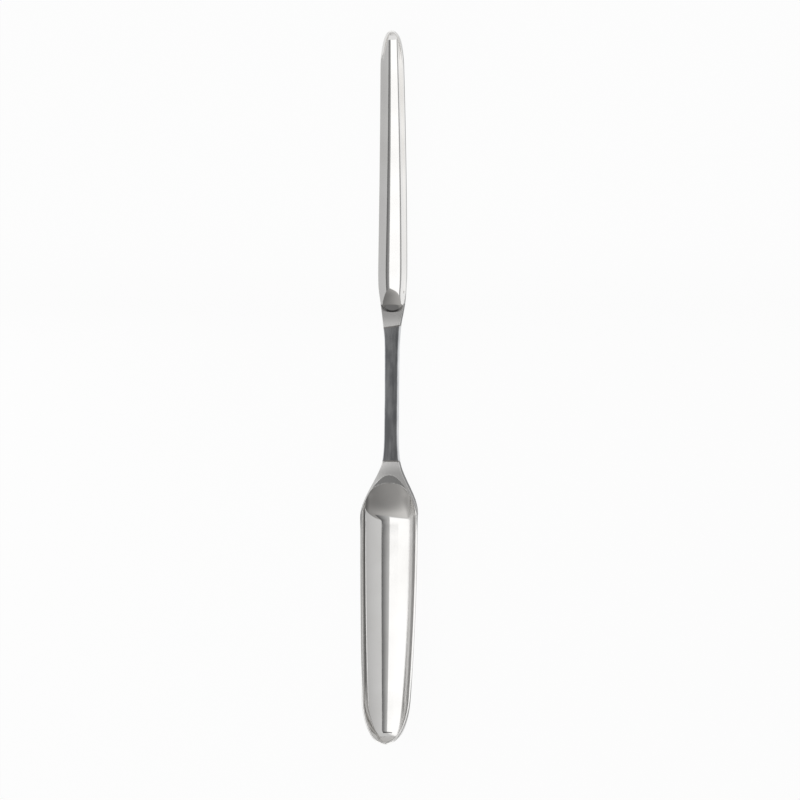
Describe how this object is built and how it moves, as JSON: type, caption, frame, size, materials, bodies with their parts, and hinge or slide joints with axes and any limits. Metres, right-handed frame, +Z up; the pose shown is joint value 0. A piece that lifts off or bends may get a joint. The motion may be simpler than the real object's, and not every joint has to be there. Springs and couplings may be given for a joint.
{
  "type": "marrow scoop",
  "caption": "Double-ended marrow scoop in polished white metal: a wide trough and a narrow trough, soldered to the ends of a slim flat shaft, for lifting marrow out of bones",
  "frame": {"origin": "On the table, under the middle of the whole length and of the width", "axes": "+Y runs along the scoop to the tip of the small scoop, +X across it, and +Z up out of both mouths"},
  "size_m": [0.0208, 0.2476, 0.0103],
  "materials": {
    "polished_metal": "mirror polish",
    "satin_metal": "satin, rubbed lengthwise",
    "silver_solder": "polished"
  },
  "bodies": {
    "root": {"large_scoop": "polished_metal", "small_scoop": "polished_metal", "shaft": "satin_metal", "large_joint_solder": "silver_solder", "small_joint_solder": "silver_solder"}
  },
  "joints": []
}
